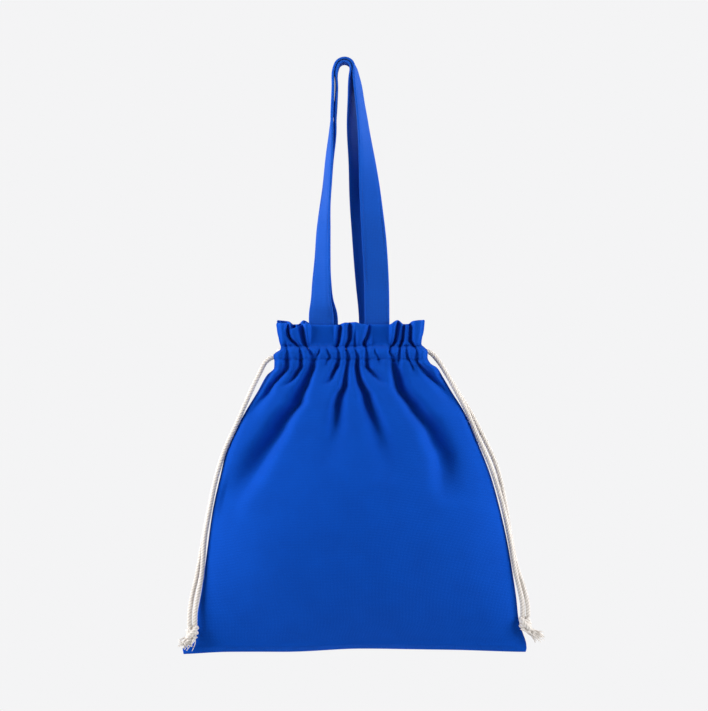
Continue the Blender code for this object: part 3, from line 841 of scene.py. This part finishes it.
class POUCH_OT_stage(bpy.types.Operator):
    """Camera, soft lights, pale surround and floor"""

    bl_idname = "pouch.stage"
    bl_label = "Stage"

    def execute(self, context):
        stage = context.scene.pouch_stage
        low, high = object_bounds()
        middle = (low + high) / 2
        self.add_camera(context, stage, Vector((VIEW_ACROSS, -stage.distance, middle.z)))
        self.add_lights(context, stage, middle)
        self.add_surround(context, stage)
        self.add_floor(stage, low.z - stage.floor_drop)
        context.scene.view_settings.view_transform = "Standard"
        return {"FINISHED"}

    def add_camera(self, context, stage, place):
        data = bpy.data.cameras.new("Camera")
        data.sensor_fit = "VERTICAL"
        data.sensor_height = 36.0
        data.lens = data.sensor_height * stage.distance / stage.view_height
        camera = bpy.data.objects.new("Camera", data)
        camera.location = place
        camera.rotation_euler = (math.pi / 2, 0.0, 0.0)
        context.scene.collection.objects.link(camera)
        context.scene.camera = camera

    def add_lights(self, context, stage, middle):
        for name, place, size, power in (
            ("Left soft light", (-1.9, -0.55, 0.35), 1.3, stage.side_light),
            ("Right soft light", (1.9, -0.55, 0.35), 1.3, stage.side_light * 0.85),
            ("Back left soft light", (-1.5, 1.5, 0.3), 1.4, stage.back_light),
            ("Back right soft light", (1.5, 1.5, 0.3), 1.4, stage.back_light),
        ):
            data = bpy.data.lights.new(name, "AREA")
            data.size = size
            data.energy = power
            light = bpy.data.objects.new(name, data)
            light.location = Vector(place)
            light.rotation_euler = (middle - light.location).to_track_quat("-Z", "Y").to_euler()
            context.scene.collection.objects.link(light)

    def add_surround(self, context, stage):
        """The camera sees the plain surround, and the pouch gets a weaker light from it."""
        world = bpy.data.worlds.new("Studio")
        world.use_nodes = True
        tree = world.node_tree
        tree.nodes.clear()
        seen = add_node(tree, "ShaderNodeBackground", {"Color": (*stage.backdrop, 1.0), "Strength": 1.0})
        fill = add_node(tree, "ShaderNodeBackground", {"Color": (1.0, 1.0, 1.0, 1.0), "Strength": stage.fill})
        rays = add_node(tree, "ShaderNodeLightPath").outputs["Is Camera Ray"]
        both = add_node(tree, "ShaderNodeMixShader", {0: rays, 1: fill.outputs[0], 2: seen.outputs[0]})
        add_node(tree, "ShaderNodeOutputWorld", {"Surface": both.outputs[0]})
        context.scene.world = world

    def add_floor(self, stage, height):
        """A round matt floor whose rim fades into the surround."""
        turn = np.linspace(0.0, 2 * math.pi, 96, endpoint=False)
        radii = np.array([0.001, 2000.0, 5200.0])[:, None]
        rings = np.stack([radii * np.cos(turn), radii * np.sin(turn), 0 * radii * turn + height / MM], axis=2)
        material, tree = empty_material("matt white studio floor")
        place = add_node(tree, "ShaderNodeTexCoord").outputs["Object"]
        flat = add_node(tree, "ShaderNodeVectorMath", {0: place, 1: (1.0, 1.0, 0.0)}, operation="MULTIPLY")
        reach = add_node(tree, "ShaderNodeVectorMath", {0: flat.outputs[0]}, operation="LENGTH")
        rim = add_node(tree, "ShaderNodeMapRange", {
            "Value": reach.outputs["Value"], "From Min": 1.2, "From Max": 4.2,
        })
        matt = add_node(tree, "ShaderNodeBsdfDiffuse", {"Color": (0.8, 0.8, 0.8, 1.0)})
        glow = add_node(tree, "ShaderNodeEmission", {"Color": (*stage.backdrop, 1.0)})
        inputs = {0: rim.outputs[0], 1: matt.outputs[0], 2: glow.outputs[0]}
        both = add_node(tree, "ShaderNodeMixShader", inputs)
        add_node(tree, "ShaderNodeOutputMaterial", {"Surface": both.outputs[0]})
        faces = grid_faces(3, 96, wrap=True).tolist()
        mesh_piece("studio_floor", rings, faces, material)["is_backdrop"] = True


class POUCH_OT_drawstrings(bpy.types.Operator):
    """Two cotton drawstrings, each once round the casing and down its own side to a knot"""

    bl_idname = "pouch.drawstrings"
    bl_label = "Drawstrings"

    def execute(self, context):
        cord = context.scene.pouch_cord
        for side, route, top, tail, lean, seed in (
            ("left", LEFT_CORD, LEFT_KNOT, LEFT_TAIL, 1, 11),
            ("right", RIGHT_CORD, RIGHT_KNOT, RIGHT_TAIL, -1, 23),
        ):
            cotton = cotton_material(f"twisted undyed cotton {side}", cord.colour, cord.shade)
            knot = knot_piece(f"{side}_cord_knot", top, tail, lean, seed, cotton, cord)
            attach(knot, "root")
            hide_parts(f"knot_{side}")
            piece, path = drawstring(f"{side}_cord", route, cotton, cord)
            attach(piece, "root")
            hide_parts(f"drawstring_{side}")
        return {"FINISHED"}


class POUCH_OT_bag(bpy.types.Operator):
    """Front and back panels of the bag with their casing, header and stitching"""

    bl_idname = "pouch.bag"
    bl_label = "Bag"

    def execute(self, context):
        canvas = context.scene.pouch_canvas
        cloth, uv, wear, stitched = panel_surface()
        thread = thread_material("blue polyester thread", canvas.stitch)
        for side, shape in (("front", settled(cloth)), ("back", settled(turned_round(cloth)))):
            material = canvas_material(
                f"plain-woven cotton canvas {side}", canvas.colour, canvas.shade, canvas.thread, 0.06,
            )
            faces = grid_faces(*shape.shape[:2]).tolist()
            piece = mesh_piece(f"{side}_cloth", shape, faces, material, uv=uv, wear=wear)
            wall = piece.modifiers.new("Cloth", "SOLIDIFY")
            wall.thickness = canvas.cloth
            wall.offset = 0.0
            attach(piece, "root")
            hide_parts(f"{side}_panel")
            square = facing(shape)
            rows = []
            for row in stitched:
                line = shape[row] + square[row] * (canvas.cloth / MM / 2)
                rows.append(stitch_row(line[2:-2], square[row][2:-2], 3.2))
            sewn = stitches_piece(f"{side}_casing_stitches", rows, thread)
            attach(sewn, "root")
        return {"FINISHED"}


class POUCH_OT_handles(bpy.types.Operator):
    """Two shoulder handles of folded canvas with top stitching"""

    bl_idname = "pouch.handles"
    bl_label = "Handles"

    def execute(self, context):
        canvas = context.scene.pouch_canvas
        thread = thread_material("blue polyester strap thread", canvas.stitch)
        for side, route in (("front", FRONT_HANDLE), ("back", BACK_HANDLE)):
            material = canvas_material(
                f"folded cotton canvas strap {side}", canvas.strap, canvas.strap_shade, canvas.thread, 0.25,
            )
            points, uv, wear = strap_surface(route)
            rows, sides = points.shape[:2]
            faces = grid_faces(rows, sides, wrap=True)[:, ::-1].tolist()
            faces.append(list(range(sides)))
            faces.append([(rows - 1) * sides + i for i in reversed(range(sides))])
            piece = mesh_piece(f"{side}_strap", points, faces, material, uv=uv, wear=wear)
            sewn = stitches_piece(f"{side}_strap_stitches", strap_stitching(route), thread)
            for part in (piece, sewn):
                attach(part, "root")
            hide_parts(f"{side}_handle")
        return {"FINISHED"}


class POUCH_PT_panel(bpy.types.Panel):
    """The pouch's pieces, in the order in which they are made."""

    bl_idname = "POUCH_PT_panel"
    bl_label = "Drawstring pouch"
    bl_space_type = "VIEW_3D"
    bl_region_type = "UI"
    bl_category = "Pouch"

    def draw(self, context):
        for operator in OPERATORS:
            self.layout.operator(operator.bl_idname)


GROUPS = (("pouch_canvas", PouchCanvas), ("pouch_cord", PouchCord), ("pouch_stage", PouchStage))
OPERATORS = (POUCH_OT_stage, POUCH_OT_drawstrings, POUCH_OT_bag, POUCH_OT_handles)


def register():
    for name, group in GROUPS:
        bpy.utils.register_class(group)
        setattr(bpy.types.Scene, name, bpy.props.PointerProperty(type=group))
    for operator in OPERATORS:
        bpy.utils.register_class(operator)
    bpy.utils.register_class(POUCH_PT_panel)


def unregister():
    bpy.utils.unregister_class(POUCH_PT_panel)
    for operator in reversed(OPERATORS):
        bpy.utils.unregister_class(operator)
    for name, group in reversed(GROUPS):
        delattr(bpy.types.Scene, name)
        bpy.utils.unregister_class(group)


def main():
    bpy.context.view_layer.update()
    register()
    bpy.ops.pouch.stage()
    bpy.ops.pouch.drawstrings()
    bpy.ops.pouch.bag()
    bpy.ops.pouch.handles()


if __name__ == "__main__":
    main()
